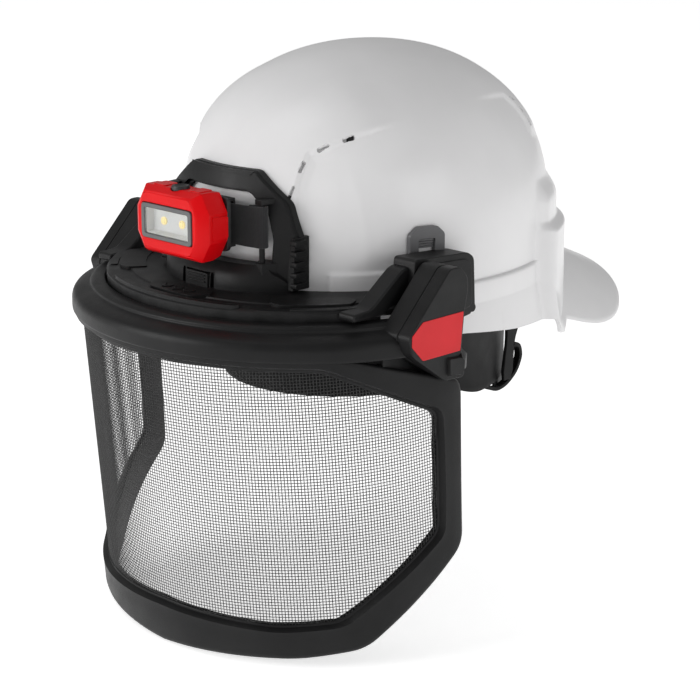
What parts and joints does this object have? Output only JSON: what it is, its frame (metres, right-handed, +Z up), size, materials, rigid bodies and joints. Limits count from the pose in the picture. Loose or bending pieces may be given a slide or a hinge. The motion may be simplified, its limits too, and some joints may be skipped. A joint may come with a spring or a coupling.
{
  "type": "arborist helmet",
  "caption": "Vented hard hat worn bill-back with a flip-up mesh face shield, brim guard and tilting clip-on headlamp.",
  "frame": {"origin": "centre of the head opening in the plane of the shell rim", "axes": "wearer faces -Y, wearer's left is +X, +Z up"},
  "size_m": [0.2968, 0.4142, 0.3625],
  "materials": {
    "shell_white": "gloss",
    "black_frame": "satin, fine grain",
    "mesh_steel": "black coated woven wire",
    "clip_grey": "satin",
    "red_plastic": "satin",
    "label_red": "satin",
    "bezel_grey": "matt",
    "lens_clear": "clear",
    "reflector_white": "gloss",
    "led_yellow": "gloss",
    "lamp_black": "satin",
    "cell_jacket": "gloss",
    "pin_steel": "brushed",
    "webbing_black": "woven",
    "foam_black": "brushed",
    "suspension_black": "satin"
  },
  "bodies": {
    "helmet": {"brim_guard": "black_frame", "brow_pad": "foam_black", "crown_pad": "foam_black", "crown_strap_lower": "webbing_black", "crown_strap_upper": "webbing_black", "headband": "suspension_black", "lamp_bracket": "lamp_black", "lamp_hinge_pin": "pin_steel", "lamp_mount": "black_frame", "lamp_strap": "webbing_black", "nape_band": "suspension_black", "nape_pad": "webbing_black", "pivot_pin_left": "black_frame", "pivot_pin_right": "black_frame", "ratchet_cover": "suspension_black", "ratchet_housing": "suspension_black", "rear_hanger_left": "suspension_black", "rear_hanger_right": "suspension_black", "shell": "shell_white", "side_carrier_left": "black_frame", "side_carrier_right": "black_frame", "strap_clip_left": "clip_grey", "strap_clip_right": "clip_grey", "suspension_keys": "suspension_black"},
    "shield": {"shield_frame": "black_frame", "mesh_screen": "mesh_steel", "mesh_retainer": "black_frame", "arm_left": "black_frame", "arm_right": "black_frame", "label_left": "label_red", "label_right": "label_red"},
    "release_left": {"release_button_left": "black_frame"},
    "release_right": {"release_button_right": "black_frame"},
    "headlamp": {"lamp_body": "red_plastic", "lamp_bezel": "bezel_grey", "lamp_lens": "lens_clear", "lamp_reflector": "reflector_white", "lamp_leds": "led_yellow", "lamp_cells": "cell_jacket", "lamp_back": "lamp_black"},
    "lamp_switch": {"lamp_button": "lamp_black"},
    "mount_latch": {"lamp_mount_latch": "black_frame"},
    "ratchet": {"ratchet_knob": "suspension_black", "ratchet_pinion": "suspension_black"},
    "tail_left": {"band_tail_left": "suspension_black"},
    "tail_right": {"band_tail_right": "suspension_black"}
  },
  "joints": [
    {"name": "shield_flip", "type": "hinge", "parent": "helmet", "child": "shield", "pos_m": [0, -0.074, 0.04], "axis": [-1, 0, 0], "range_deg": [0, 80]},
    {"name": "release_left_press", "type": "slide", "parent": "shield", "child": "release_left", "axis": [-1, 0, 0], "range_m": [0, 0.002], "stiffness_N_per_m": 400},
    {"name": "release_right_press", "type": "slide", "parent": "shield", "child": "release_right", "axis": [1, 0, 0], "range_m": [0, 0.002], "stiffness_N_per_m": 400},
    {"name": "headlamp_tilt", "type": "hinge", "parent": "helmet", "child": "headlamp", "pos_m": [0, -0.1465, 0.0495], "axis": [1, 0, 0], "range_deg": [0, 30]},
    {"name": "lamp_switch_press", "type": "slide", "parent": "headlamp", "child": "lamp_switch", "axis": [0, 0, -1], "range_m": [0, 0.0012], "stiffness_N_per_m": 800},
    {"name": "mount_latch_press", "type": "slide", "parent": "helmet", "child": "mount_latch", "axis": [0, 1, 0], "range_m": [0, 0.002], "stiffness_N_per_m": 500},
    {"name": "ratchet_turn", "type": "hinge", "parent": "helmet", "child": "ratchet", "pos_m": [0, 0.107, -0.04], "axis": [0, 1, 0], "range_deg": [0, 105]},
    {"name": "tail_left_slide", "type": "slide", "parent": "helmet", "child": "tail_left", "axis": [1, 0, 0], "range_m": [0, 0.0081]},
    {"name": "tail_right_slide", "type": "slide", "parent": "helmet", "child": "tail_right", "axis": [-1, 0, 0], "range_m": [0, 0.0081]}
  ],
  "couplings": [
    {"joint": "tail_left_slide", "follows": "ratchet_turn", "m_per_rad": 0.0044},
    {"joint": "tail_right_slide", "follows": "ratchet_turn", "m_per_rad": 0.0044}
  ]
}
